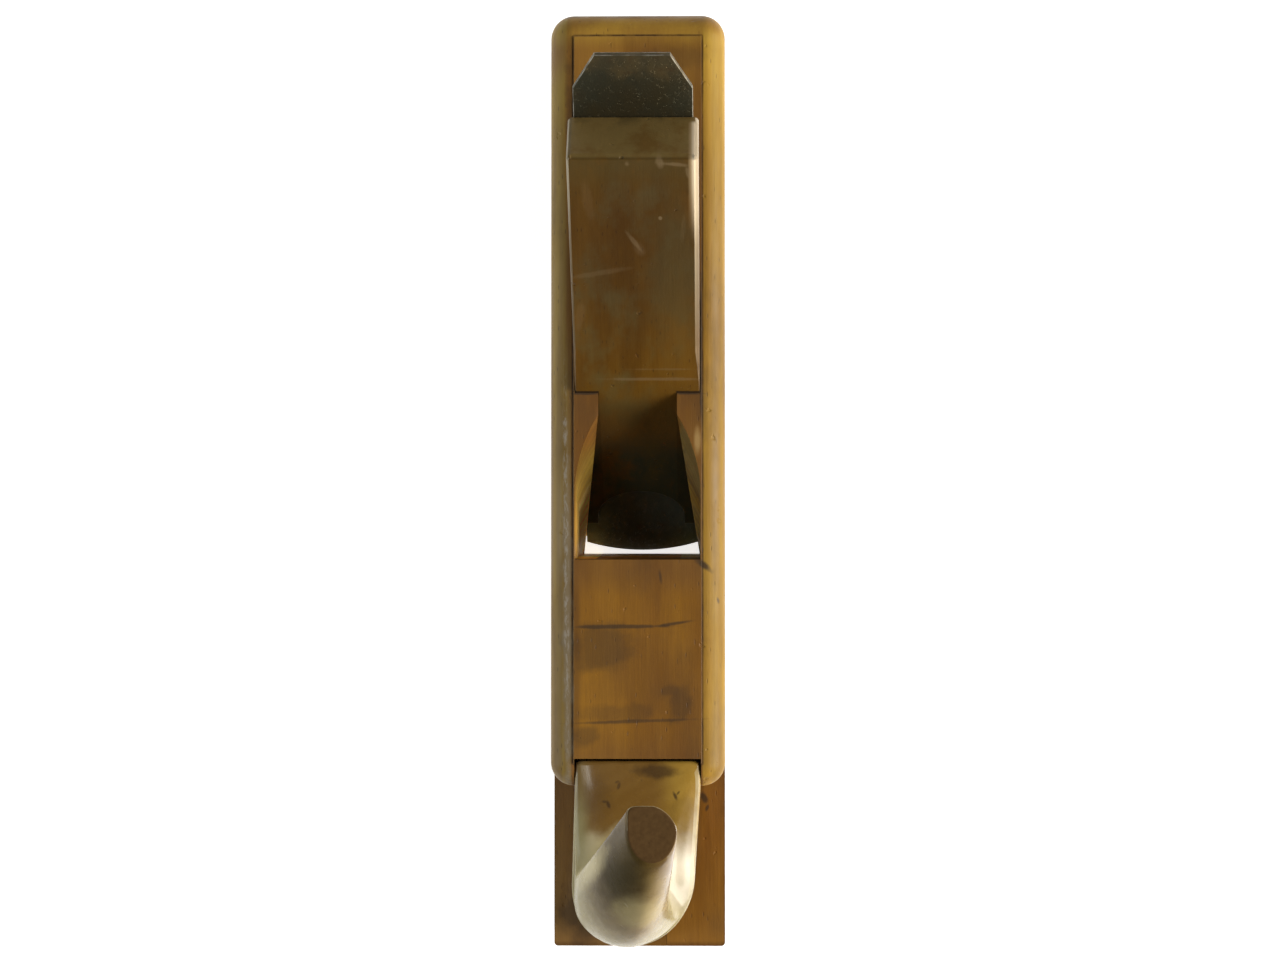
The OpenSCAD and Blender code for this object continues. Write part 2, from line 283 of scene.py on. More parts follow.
def beech(place, pale, deep, fleck, pith, seed=0):
    """Old beech, grain along Y, round a pith at x and z: its colour, its fibres' height and its ray flecks."""
    tree = place.id_data
    sway = mottle(place, 45, (1, 5, 1), 2.0, seed=seed)
    bend = put(tree, "VectorMath", {0: sway, "Scale": 9.0}, operation="SCALE").outputs[0]
    swayed = put(tree, "VectorMath", {0: place, 1: bend}, operation="ADD").outputs[0]
    about = put(tree, "Mapping", {"Vector": swayed, "Location": (-pith[0], 0, -pith[1]),
                                  "Scale": (1, 0.25, 1)}).outputs[0]
    rings = put(tree, "TexWave", {"Vector": about, "Scale": 0.09, "Distortion": 7.0, "Detail": 4.0,
                                  "Detail Scale": 0.5, "Detail Roughness": 0.6},
                wave_type="RINGS", rings_direction="Y").outputs[1]
    cloud = mottle(place, 11, (1, 5, 1), 4.0, seed=seed + 1)
    fibre = mottle(place, 0.5, (1, 26, 1), 4.0, 0.65, seed=seed + 2)
    age = total(product(rings, 0.15), product(cloud, 0.85), product(fibre, 0.25))
    wood = tint(ramp(age, 0.33, 0.92), deep, pale)
    cells = put(tree, "Mapping", {"Vector": place, "Scale": (1.0, 0.24, 1.0)}).outputs[0]
    cell = put(tree, "TexVoronoi", {"Vector": cells, "Scale": 0.95, "Randomness": 1.0}).outputs
    kept = ramp(put(tree, "SeparateColor", {0: cell["Color"]}).outputs[0], 0.45, 0.6)
    rays = product(ramp(cell["Distance"], 0.2, 0.08), kept)
    return tint(product(rays, 0.5), wood, fleck), fibre, rays


def on_quirk(edge):
    """Whether an edge lies on the lip between the flat top and the quirk."""
    return all(abs(v.co.z - stock_top) < same_place
               and (abs(abs(v.co.x) - quirk_x) < same_place or v.co.y > quirk_heel_y) for v in edge.verts)


def stock_wood():
    finish, shader, place = new_finish("stock_wood")
    wood, fibre, rays = beech(place, (0.205, 0.096, 0.015), (0.125, 0.052, 0.009), (0.050, 0.022, 0.006), (14, 170))
    x, y, z = directions(place)
    off_middle, off_centre = reckon("ABSOLUTE", x), reckon("ABSOLUTE", y)
    upper, deck, left_side = ramp(z, 50, 57), ramp(z, 36.5, 35.5), ramp(x, -17.5, -19.0)
    end_grain = ramp(off_centre, 118.6, 119.7)
    pores = ramp(mottle(place, 0.7, (1, 5, 4), 4.0, 0.7, seed=17), 0.4, 0.66)
    right_rail = within(upper, (y, 117, 109))
    block = within((y, -22, -30), (y, -72, -60), (x, 16.2, 16.1), (x, -16.2, -16.1))
    behind_mouth = within((y, -19.3, -18.9), (z, 59.95, 59.6))
    left_cheek = within((x, -10.5, -11.0), (x, -16.3, -16.1), (y, 12, 6), behind_mouth)
    wood = toned(wood, (
        # the round-over: left side, its outer part with painted light and sheen where light from the left falls;
        # heel, the heel's arris and its left corner
        ((1.38, 1.9, 2.1), left_side, upper),
        ((1.28, 1.35, 1.3), (y, 80, 112), upper),
        ((1.4, 1.65, 1.6), (y, 110, 116), upper),
        ((0.76, 0.64, 0.85), left_side, (y, 98, 110), upper),
        # the end grain with its open pores, and the sides
        ((0.66, 0.62, 0.6), end_grain),
        ((0.6, 0.57, 0.55), end_grain, product(pores, 0.5)),
        ((0.8, 0.75, 0.72), (off_middle, 21.7, 22.2), (z, 58, 50)),
        # the rails, yellow on the right and greyer on the left, with a painted highlight, pale and blue, down the
        # inner part of the left one
        ((1.9, 2.35, 1.75), (x, 16.2, 16.8), right_rail),
        ((0.75, 0.77, 0.46), (x, 18.2, 19.6), right_rail),
        ((0.75, 0.70, 0.70), upper, (x, -18.8, -19.6), (y, -15, -45)),
        ((1.3, 1.7, 2.5), upper, (x, -16.7, -17.1), (y, 45, 20), (x, -18.6, -17.8)),
        # the block in front of the mouth, warmer, and duller by the left rail
        ((1.3, 1.28, 0.68), block, upper),
        ((0.64, 0.63, 0.9), block, (x, -13.8, -15.6)),
        # painted light in the throat: the cheeks and the throat's walls made lighter and greyer, the left cheek most
        # toward the mouth
        ((1.05, 1.3, 1.25), left_cheek),
        ((2.6, 2.5, 2.7), left_cheek, (y, 4, -12)),
        ((1.1, 1.65, 3.4), (x, 10.5, 11.0), (x, 16.3, 16.1), (y, 18, 13), behind_mouth),
        ((2.4, 2.8, 3.6), (off_middle, 16.3, 15.9), (y, -23.0, -21.5), (y, 26, 24), (z, 57, 40)),
        # the toe deck: painted light on its left, lighter and bluer in the horn's shadow; and warmer all over
        ((1.15, 1.35, 3.2), deck, (x, 4, -12)),
        ((1.27, 1.26, 0.9), deck)))
    grime = mottle(place, 26, (1, 2, 1), 5.0, 0.6, seed=6)
    wood = tint(product(ramp(grime, 0.5, 0.72), 0.45), wood, (0.062, 0.034, 0.014))
    ragged = ragged_edge(place, 5, 5)
    wood = stained(wood, (0.040, 0.024, 0.012), place, ragged, (
        # dark lines and stains on the block
        ((-4.6, -36.3, 60), (11.5, 0.45, 4), 0.6, 0.75), ((9.4, -35.5, 60), (4.4, 0.4, 4), 9, 0.75),
        ((-9.5, -42.0, 60), (8, 5.5, 4), 8, 0.5), ((10.8, -56.0, 60), (2.6, 4.2, 4), -12, 0.45),
        ((8.2, -52.5, 60), (2.2, 1.2, 4), 20, 0.35), ((-1, -60.3, 60), (15.5, 0.4, 4), 2.0, 0.6),
        ((-6, -58.4, 60), (10, 2.2, 4), 2, 0.3), ((5.8, -23.6, 60), (0.4, 1.6, 3), 8, 0.6),
        ((2, -48, 60), (14, 9, 4), -5, 0.14), ((-13.5, -64, 60), (3.2, 2.4, 4), 20, 0.4),
        # a split at the mouth's right end, and nicks in the deck and the right rail
        ((16.9, -20.7, 59), (2.6, 0.85, 5), -38, 0.9), ((16.8, -81.4, 35), (0.8, 1.5, 3), 25, 0.85),
        ((17.6, -84, 35), (0.4, 0.8, 3), -20, 0.8), ((20.4, -29.6, 55), (0.35, 0.9, 5), 12, 0.8),
        # handling on the rails, the heel, both sides, the deck and the heel's end
        ((-17, 90, 59), (1.2, 14, 4), 2, 0.5), ((8, 108, 60), (9, 3.5, 4), 6, 0.3),
        ((-22, 30, 30), (3, 38, 17), 0, 0.4), ((22, -60, 24), (3, 24, 13), 0, 0.35),
        ((-12, -110, 35), (9, 9, 3), 0, 0.55), ((0, 120, 30), (14, 3, 20), 0, 0.45),
        # painted shadow in the gap along the throat's right edge, dirt on the rail beside it, and painted shadow
        # where the wedge goes under both abutments
        ((16.1, 36, 60), (0.28, 19, 3), 0, 0.95), ((17.6, -8, 59), (2.6, 26, 4), 0, 0.2),
        ((-13.2, 22.9, 60), (3.2, 0.3, 3), 0, 0.9), ((13.2, 22.9, 60), (3.2, 0.3, 3), 0, 0.9)))
    # painted highlight: a pale spot on the rim at the right cheek's upper corner
    rim_highlight = stain(place, product(ragged, 0.4), (15.2, 11.0, 60), (0.8, 3.0, 3), 0, 0.6)
    wood = tint(product(rim_highlight, 0.8), wood, (0.36, 0.23, 0.085))

    wear_and_painted_light = wear_and_light_marks(shader)
    throat_rim = within((x, 16.3, 16.2), (x, 15, 15.6))
    rub = product(reckon("MAXIMUM", wear_and_painted_light, 0.0), ramp(mottle(place, 7, seed=9), 0.35, 0.6, 0.15, 0.7),
                  reckon("SUBTRACT", 1.0, throat_rim))
    # dirt and painted shade in the corners and creases
    wood = corner_dirt_and_shade(wood, dirt_and_shade, 0.003, 0.7, 0.2, 0.8)
    wood = tint(rub, wood, (0.26, 0.15, 0.045))
    # painted shade, patchy, on the floor of the quirk
    patchy = mottle(place, 4, (1, 2, 1), 4.0, 0.6, seed=8)
    quirk_shade = product(reckon("MINIMUM", wear_and_painted_light, 0.0), ramp(patchy, 0.35, 0.65, -0.4, -0.8))
    wood = tint(quirk_shade, wood, (0.030, 0.017, 0.008))
    # painted highlight: a broken whitish streak down the left round-over, where it catches light from above left
    left_highlight_band = stain(place, ragged, (-17.75, -37, 59.5), (1.15, 42, 3), 0.3, 0.4)
    wood = tint(product(left_highlight_band, 0.7), wood, (0.225, 0.175, 0.112))
    left_highlight_flecks = within(stain(place, ragged, (-18.1, -24, 59.5), (0.6, 42, 3), 0.5, 0.6),
                    (mottle(place, 0.7, (1, 4, 1), 4.0, 0.7, seed=14), 0.46, 0.60))
    wood = tint(product(left_highlight_flecks, 0.6), wood, (0.40, 0.36, 0.31))
    drive(shader, "Base Color", wood)

    scuff = mottle(place, 9, (1, 3, 1), 6.0, 0.7, seed=11)
    drive(shader, "Roughness", ramp(scuff, 0.3, 0.7, 0.38, 0.6))
    nicks = ramp(mottle(place, 3.2, detail=2.0, seed=12), 0.30, 0.22, 0.0, -2.0)
    relieve(shader, total(product(fibre, 0.5), product(rays, -0.5), nicks, product(scuff, 1.5)), 0.00008)
    shader.inputs["Specular IOR Level"].default_value = 0.25
    return finish


stock_solid = merged_copy("stock")
ease_edges(stock_solid, quirk_ease, on_quirk)
ease_edges(stock_solid, arris_ease, lambda edge: not on_quirk(edge) and edge.calc_length() > shortest_edge)
wear_and_light_layer = stock_solid.faces.layers.float["wear_and_painted_light"]
# the quirk's floor is marked -1, for the painted shade the finish puts there
for face in stock_solid.faces:
    if all(quirk_floor_mm < v.co.z * 1000 < quirk_lip_mm for v in face.verts):
        face[wear_and_light_layer] = -1
stock = finished_piece("stock", stock_solid)
stock.data.materials.append(stock_wood())
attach(stock, "stock")
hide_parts("stock")


# Horn. The front grip, sawn and rasped from one piece of beech and polished by the hand: a block that fills the
# housing, a saddle for the thumb, and a shaft that leans right to a flat cut tip. A dovetail key under the
# block slides into the deck from the toe, and glue holds it.
horn_w, belly_w, rim_r = 32.0, 31.2, 1.2
deck_z, rim_z, top_z, tip_rise = 35.0, 60.0 - 1.2, 60.0, 45.0
rail_end_y, back_y, belly_y, front_y = -77.0, -70.3, -100.3, -117.3
root_y, waist_r, root_droop = -94.0, 7.3, 5.0
tip_left, tip_right, tip_back_y, tip_front_y = -1.6, 10.6, -78.2, -92.2
belly_shift, saddle_share, crown = 1.1, 0.07, 2.4
key_neck, key_foot, key_deep, key_end_y, key_back_y = 14.0, 18.0, 8.0, -120.0, back_y - 4
points_round = 144
ridge = points_round * 3 // 8


def part_way(start, end, share):
    return start + (end - start) * share


def clipped(share):
    return min(1.0, max(0.0, share))


def quarter_point(share, full):
    """How far across and along a point lies on a quarter of a rounded outline, from its side to its end."""
    corner = 0.5 ** (1 / full)
    if share < 0.5:
        along = 2 * share * corner
        return (1 - along ** full) ** (1 / full), along
    over = 2 * (1 - share) * corner
    return over, (1 - over ** full) ** (1 / full)


def horn_ring(z, mid_y, left, right, right_front, back, front, full, shift, slim, droop=0.0):
    """One level of the horn, from how far it reaches; full is its fullness right back, left back, left and right.
    Toward the front it shifts left and slims, and droop draws its back left forward."""
    ring = []
    mid_x = (left + right_front) / 2
    for step in range(points_round):
        quarter, share = divmod(step / points_round * 4, 1)
        if quarter in (1, 3):
            share = 1 - share
        over, along = quarter_point(share, full[int(quarter)])
        bend = clipped(along / 0.65) ** 2 * (3 - 2 * clipped(along / 0.65)) if quarter == 3 else 0
        x = mid_x + over * (left - mid_x if quarter in (1, 2) else part_way(right, right_front, bend) - mid_x)
        y = mid_y + along * ((back if quarter < 2 else front) - mid_y)
        if quarter in (1, 2):
            y -= droop * over * over * (1 if quarter == 1 else 1 - along)
        share = (rail_end_y - y) / (rail_end_y - belly_y)
        x = x * part_way(1, slim, clipped(share)) - shift * max(0, share)
        fall = crown * part_way(0.4, 1, clipped((back_y - y) / 24)) * min(1, abs(x) / 16) ** 3.5
        ring.append((x, y, z - fall * clipped((z - 50) / 10) * clipped((top_z + 7 - z) / 7)))
    return ring


def block_ring(z, inset=0.0):
    half = horn_w / 2 - inset / 2
    return horn_ring(z, belly_y, left=-half, right=half, right_front=half,
                     back=back_y - inset, front=front_y + inset / 4, full=(40, 40, 2.3, 2),
                     shift=belly_shift, slim=belly_w / horn_w)


def shaft_ring(s):
    """The shaft at a share of its rise, from the saddle that spreads over the block up to the tip."""
    half = horn_w / 2 - rim_r / 2
    saddle = (1 - clipped(s / saddle_share)) ** 2
    waist = part_way(waist_r, tip_right, s ** 1.5)
    return horn_ring(top_z + s * tip_rise, part_way(belly_y, tip_back_y - 6, s ** 1.3),
                     left=part_way(-half, tip_left, s ** 1.3),
                     right=part_way(waist, half, (1 - s) ** 45),
                     right_front=part_way(part_way(10.5, tip_right, s), half, (1 - s) ** 3.5),
                     back=part_way(part_way(root_y, tip_back_y, s ** 1.4), back_y - rim_r, saddle),
                     front=part_way(front_y + rim_r / 4, tip_front_y, s ** 2.3),
                     full=(part_way(part_way(2.2, 1.6, s), 40, saddle ** 2), part_way(7, 40, saddle ** 2),
                           part_way(2.3, 2, s), 2 - 0.25 * math.sin(math.pi * s)),
                     shift=belly_shift * (1 - s), slim=part_way(belly_w / horn_w, 1, s),
                     droop=root_droop * (1 - s) * (1 - saddle))


def blend(amount, under, over):
    """A plain number between two others, by amount."""
    return put(amount.id_data, "Mix", {0: amount, 2: under, 3: over}).outputs[0]


def horn_wood():
    finish, shader, place = new_finish("horn_wood")
    upright = put(place.id_data, "Mapping", {"Vector": place, "Rotation": (math.radians(72), 0, 0)}).outputs[0]
    wood, fibre, _ = beech(upright, (0.190, 0.120, 0.036), (0.105, 0.058, 0.015), (0.05, 0.028, 0.009),
                           (-60, 40), seed=20)
    x, y, z = directions(place)
    ragged = ragged_edge(place, 4, 25)
    saddle = within((y, -104, -84), (z, 100, 58))
    wood = tint(product(saddle, 0.75), wood, (0.155, 0.078, 0.014))
    # painted light: the saddle's right side lighter, where the light from the right falls
    wood = toned(wood, [((1.7, 1.95, 1.6), saddle, (x, 4, 11))])
    # painted sheen: the low front pale, where its varnish shines
    low_front_sheen = within((y, -86, -104), (z, 92, 64), (z, 42, 58))
    wood = tint(product(low_front_sheen, 0.8), wood, (0.265, 0.222, 0.085))
    # painted reflection: a dark core down the front, under the tip
    dark_front_reflection = stain(place, product(ragged, 0.3), (-3.6, -95.5, 92), (7.0, 11.5, 26), -20, 0.8)
    wood = tint(product(dark_front_reflection, 0.95), wood, (0.036, 0.026, 0.008))
    for centre, reach, turn, strength, colour in (
            # painted reflection on the shaft: dark under the tip, pale on its front and its right
            ((-1.5, -86, 98), (5, 7, 10), -30, 0.55, (0.075, 0.052, 0.018)),
            ((1.4, -105.0, 89), (6.0, 4.0, 14), 10, 0.55, (0.43, 0.35, 0.16)),
            ((5.5, -97.5, 92), (2.6, 4.5, 12), 0, 0.5, (0.30, 0.225, 0.09)),
            # painted reflection on the left, pale
            ((-12.4, -93.5, 63), (3.6, 5.5, 5), -15, 0.85, (0.52, 0.45, 0.28)),
            ((-9.8, -94, 73), (9, 2.4, 18), 52, 0.7, (0.54, 0.46, 0.25)),
            # the right shoulder: a painted highlight, pale, between two darker ends
            ((11.0, -99.5, 61), (3.6, 8.0, 8), -6, 0.75, (0.66, 0.61, 0.50)),
            ((12, -90.5, 62), (4, 4.5, 6), 0, 0.4, (0.115, 0.078, 0.028)),
            ((11.5, -105.5, 60), (3.5, 4.5, 5), 0, 0.35, (0.15, 0.12, 0.06))):
        spot = stain(place, product(ragged, 0.5), centre, reach, turn, 0.6)
        wood = tint(product(spot, strength), wood, colour)
    # painted reflection: the saddle's far left pale
    far_left_sheen = within(saddle, (x, -11, -15), (y, -74, -92, 0.2, 1.0))
    wood = tint(far_left_sheen, wood, (0.34, 0.30, 0.15))
    wood = tint(ramp(z, 36, 35, 0, 0.9), wood, (0.150, 0.068, 0.013))
    wood = stained(wood, (0.035, 0.020, 0.010), place, ragged, (
        # shadows of dirt behind the shaft and on both sides of it
        ((5, -73, 60), (4.6, 1.6, 3), 0, 0.7), ((-10, -80, 60), (3.5, 5, 4), 10, 0.2),
        ((12, -84, 62), (4, 5, 5), 0, 0.25),
        # nicks on the right and the left, and a crack at the front
        ((9.5, -79, 60), (0.45, 1.1, 3), 25, 0.8), ((10.3, -78.4, 60), (0.3, 0.7, 3), -40, 0.7),
        ((-7.4, -81.3, 60), (0.5, 1.2, 3), 20, 0.75), ((-8.4, -80.6, 60), (0.7, 0.35, 3), -10, 0.6),
        ((-4.7, -76.6, 60), (0.35, 0.9, 3), -15, 0.6), ((-5.2, -75.6, 60), (0.6, 0.3, 3), 20, 0.5),
        ((-2.5, -110.6, 66), (1.6, 0.3, 8), 12, 0.7)))
    # dirt and painted shade in the corners and creases
    wood = corner_dirt_and_shade(wood, dirt_and_shade, 0.003, 0.5, 0.1, 0.7)
    # pale rubbed wood and a painted highlight on the rim, down the ridge and round the back of the tip
    rub = product(wear_and_light_marks(shader), ramp(mottle(place, 5, seed=26), 0.3, 0.6, 0.4, 1.0))
    wood = tint(rub, wood, (0.44, 0.38, 0.24))
    cut = ramp(z, 104.82, 104.93)
    sawn_grain = tint(mottle(place, 1.2, detail=5.0, seed=27), (0.060, 0.032, 0.013), (0.115, 0.066, 0.026))
    drive(shader, "Base Color", tint(cut, wood, sawn_grain))

    handling = mottle(place, 8, detail=5.0, rough=0.65, seed=28)
    drive(shader, "Roughness", blend(cut, ramp(handling, 0.3, 0.7, 0.2, 0.36), 0.6))
    dents = ramp(mottle(place, 3.5, detail=2.0, seed=29), 0.30, 0.20, 0.0, -2.0)
    relieve(shader, total(product(fibre, 0.3), dents, product(handling, 3.0)), 0.00005)
    dull = reckon("MAXIMUM", dark_front_reflection, cut)
    polish = blend(ramp(x, 3, 8), 0.05, 0.9)
    polish = blend(ramp(y, -94, -101, 0, 0.6), polish, 0.05)
    back_left = within((x, 4, -6), (y, -79, -75.5), (x, -13.6, -12.4, 0.2, 1.0))
    polish = blend(saddle, polish, blend(back_left, 0.15, 0.6))
    drive(shader, "Coat Weight", blend(dull, polish, 0.0))
    shader.inputs["Coat Roughness"].default_value = 0.12
    shader.inputs["Coat IOR"].default_value = 1.6
    drive(shader, "Specular IOR Level", blend(dull, 0.09, 0.02))
    return finish


block_rings = [block_ring(part_way(deck_z, rim_z, s / 6)) for s in range(7)]
rim_rings = [block_ring(rim_z + rim_r * math.sin(math.radians(a)), rim_r * (1 - math.cos(math.radians(a))))
             for a in (22, 45, 66, 80)]
saddle_rings = [shaft_ring(s) for s in (0, 0.002, 0.005, 0.008, 0.012, 0.016, 0.021, 0.026, 0.032, 0.038, 0.045,
                                        0.053, 0.061, 0.07, 0.08, 0.09)]
shaft_rings = [shaft_ring(0.1 + 0.89 * s / 50) for s in range(51)]
top = shaft_ring(1.0)
middle = [sum(p[k] for p in top) / len(top) for k in range(2)]
tip_rings = [[(part_way(middle[0], p[0], share), part_way(middle[1], p[1], share), z) for p in top]
             for share, z in ((0.985, 104.8), (0.955, 104.95), (0.90, 105.0))]
rings = block_rings + rim_rings + saddle_rings + shaft_rings + tip_rings
rim_levels = range(len(block_rings) + 1, len(block_rings) + len(rim_rings) + 1)
shaft_level = len(block_rings + rim_rings + saddle_rings)
tip_level = len(rings) - len(tip_rings)


def horn_rub_and_highlight(level, i, y):
    """How pale a face is painted, for rubbed wood and a painted highlight: on the block's rim, down a ridge of the
    shaft, and round the back of the tip.
    """
    if y > -0.073:
        return 0
    if level in rim_levels:
        return 0.6 * clipped(y * 1000 / 6 + 19)
    if level >= shaft_level and ridge - 2 < i <= ridge:
        return 0.7
    return 0.5 if level >= tip_level and i < points_round / 2 else 0


horn_solid = bmesh.new()
wear_and_light_layer = horn_solid.faces.layers.float.new("wear_and_painted_light")
loops = [[horn_solid.verts.new([side / 1000 for side in p]) for p in ring] for ring in rings]
for level, (lower, upper) in enumerate(zip(loops, loops[1:])):
    for i in range(points_round):
        j = (i + 1) % points_round
        face = horn_solid.faces.new((lower[i], lower[j], upper[j], upper[i]))
        face[wear_and_light_layer] = horn_rub_and_highlight(level, i, lower[i].co.y)
horn_solid.faces.new(list(reversed(loops[0])))
horn_solid.faces.new(loops[-1])
key_outline = ((-key_neck / 2, deck_z), (-key_foot / 2, deck_z - key_deep),
               (key_foot / 2, deck_z - key_deep), (key_neck / 2, deck_z))
key_ends = [[horn_solid.verts.new((x / 1000, y / 1000, z / 1000)) for x, z in key_outline]
            for y in (key_end_y, key_back_y)]
for i in range(4):
    j = (i + 1) % 4
    horn_solid.faces.new((key_ends[0][i], key_ends[0][j], key_ends[1][j], key_ends[1][i]))
horn_solid.faces.new(list(reversed(key_ends[0])))
horn_solid.faces.new(key_ends[1])
bmesh.ops.recalc_face_normals(horn_solid, faces=horn_solid.faces)
horn = finished_piece("horn", horn_solid, 40)
horn.data.materials.append(horn_wood())
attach(horn, "stock")
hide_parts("horn")


# Wedge. A beech wedge driven down behind the abutments to hold the iron. Its lower end is arched into two
# prongs that let shavings through, its upper edges are chamfered, and hammer taps have worn its struck end.
bed_angle, edge_y, edge_lift = math.radians(45), -16.8, 0.2
wedge_half, prong_v, kink_v, struck_v = 15.8, 13.0, 72.84, 147.7
wedge_mouth_t, wedge_out_v, wedge_struck_t, wedge_taper = 14.1, 70.47, 15.4, math.radians(11)
arch_r, arch_crown_v, corner_r, clear_of_iron = 11.5, 27.5, 1.2, 0.04
prong_arris, kink_arris, full_arris, back_arris = 0.25, 0.55, 1.1, 0.3
steps_up, corner_steps, end_steps, arch_steps, arris_steps = 26, 9, 16, 32, 5


def on_bed(x, v, w):
    """A point across, up and out of the bed, in millimetres, as a place in metres."""
    return Vector((x, edge_y + (v - w) * math.cos(bed_angle), edge_lift + (v + w) * math.sin(bed_angle))) / 1000


def wedge_front(v):
    """How thick the wedge is at a height on the bed: steep up to the abutments' top, nearly even above."""
    if v > kink_v:
        kink_t = wedge_mouth_t + (kink_v - wedge_out_v) * math.tan(wedge_taper)
        return part_way(kink_t, wedge_struck_t, (v - kink_v) / (struck_v - kink_v))
    return wedge_mouth_t + (v - wedge_out_v) * math.tan(wedge_taper)


def wedge_outline():
    """The outline, anticlockwise seen from the front: for each point across, up, chamfer and its fullness."""
    levels = [part_way(prong_v, struck_v - corner_r, i / steps_up) for i in range(steps_up + 1)]
    outline = []
    for v in levels:
        above = clipped((v - kink_v) / 12)
        size = part_way(prong_arris, part_way(kink_arris, full_arris, above), above) + 0.1 * clipped((v - 125) / 20)
        outline.append((wedge_half, v, size, 1.3))
    outline.insert(1, (wedge_half, prong_v + 1, prong_arris, 1.2))
    for i in range(1, corner_steps):
        a = math.radians(90 * i / corner_steps)
        outline.append((wedge_half - corner_r * (1 - math.cos(a)), struck_v - corner_r * (1 - math.sin(a)), 0.7, 1.5))
    for i in range(end_steps + 1):
        outline.append((part_way(wedge_half - corner_r, corner_r - wedge_half, i / end_steps), struck_v, 1.2, 1.7))
    for i in range(1, corner_steps):
        a = math.radians(90 + 90 * i / corner_steps)
        outline.append((corner_r - wedge_half + corner_r * math.cos(a), struck_v - corner_r * (1 - math.sin(a)),
                        0.6, 1.6))
    for v in reversed(levels):
        outline.append((-wedge_half, v, part_way(prong_arris, kink_arris, clipped((v - kink_v) / 12)), 1.4))
    outline.insert(-1, (-wedge_half, prong_v + 1, prong_arris, 1.2))
    outline.append((-arch_r, prong_v, 0.2, 1.4))
    for i in range(arch_steps + 1):
        a = math.pi - math.pi * i / arch_steps
        outline.append((arch_r * math.cos(a), arch_crown_v - arch_r + arch_r * math.sin(a), 0.35, 1.6))
    outline.append((arch_r, prong_v, 0.2, 1.4))
    return outline


def inward_steps(outline):
    """From each point of the outline, the way into the wedge that keeps a chamfer's inner line parallel to it."""
    inward = []
    for i, (x, v, _, _) in enumerate(outline):
        before, after = outline[i - 1], outline[(i + 1) % len(outline)]
        first = Vector((x - before[0], v - before[1])).normalized()
        second = Vector((after[0] - x, after[1] - v)).normalized()
        bisector = (Vector((-first.y, first.x)) + Vector((-second.y, second.x))).normalized()
        inward.append(bisector / max(0.5, bisector.dot(Vector((-first.y, first.x)))))
    return inward


def wedge_ring(solid, outline, inward, side, step):
    """Points of the outline on the front (1) or back (-1) arris; step 0 lies on the sides."""
    ring = []
    turn = math.pi / 2 * step / arris_steps
    for (x, v, size, full), inner in zip(outline, inward):
        if side < 0:
            size = back_arris
        inset = size * (1 - math.cos(turn) ** (2 / full))
        drop = size * (1 - math.sin(turn) ** (2 / full))
        x, v = x + inner.x * inset, v + inner.y * inset
        w = wedge_front(v) - drop if side > 0 else drop + clear_of_iron
        ring.append(solid.verts.new(on_bed(x, v, w)))
    return ring


def wedge_rub_and_highlight(x, v, level):
    """How pale a face is painted, for rubbed wood and a painted highlight: at the struck end's corners, on the right
    arris, and less on the left and the rest.
    """
    if v > struck_v - 0.1:
        return 0
    if v > struck_v - corner_r and level >= arris_steps:
        if x > wedge_half - 1.15:
            return 0.85
        if x < 0.6 - wedge_half:
            return 0.3
    if level == arris_steps or v > struck_v - 1.0:
        return 0
    return 1 if x > arch_r + 1 else 0.4 if x < -arch_r - 1 else 0.2


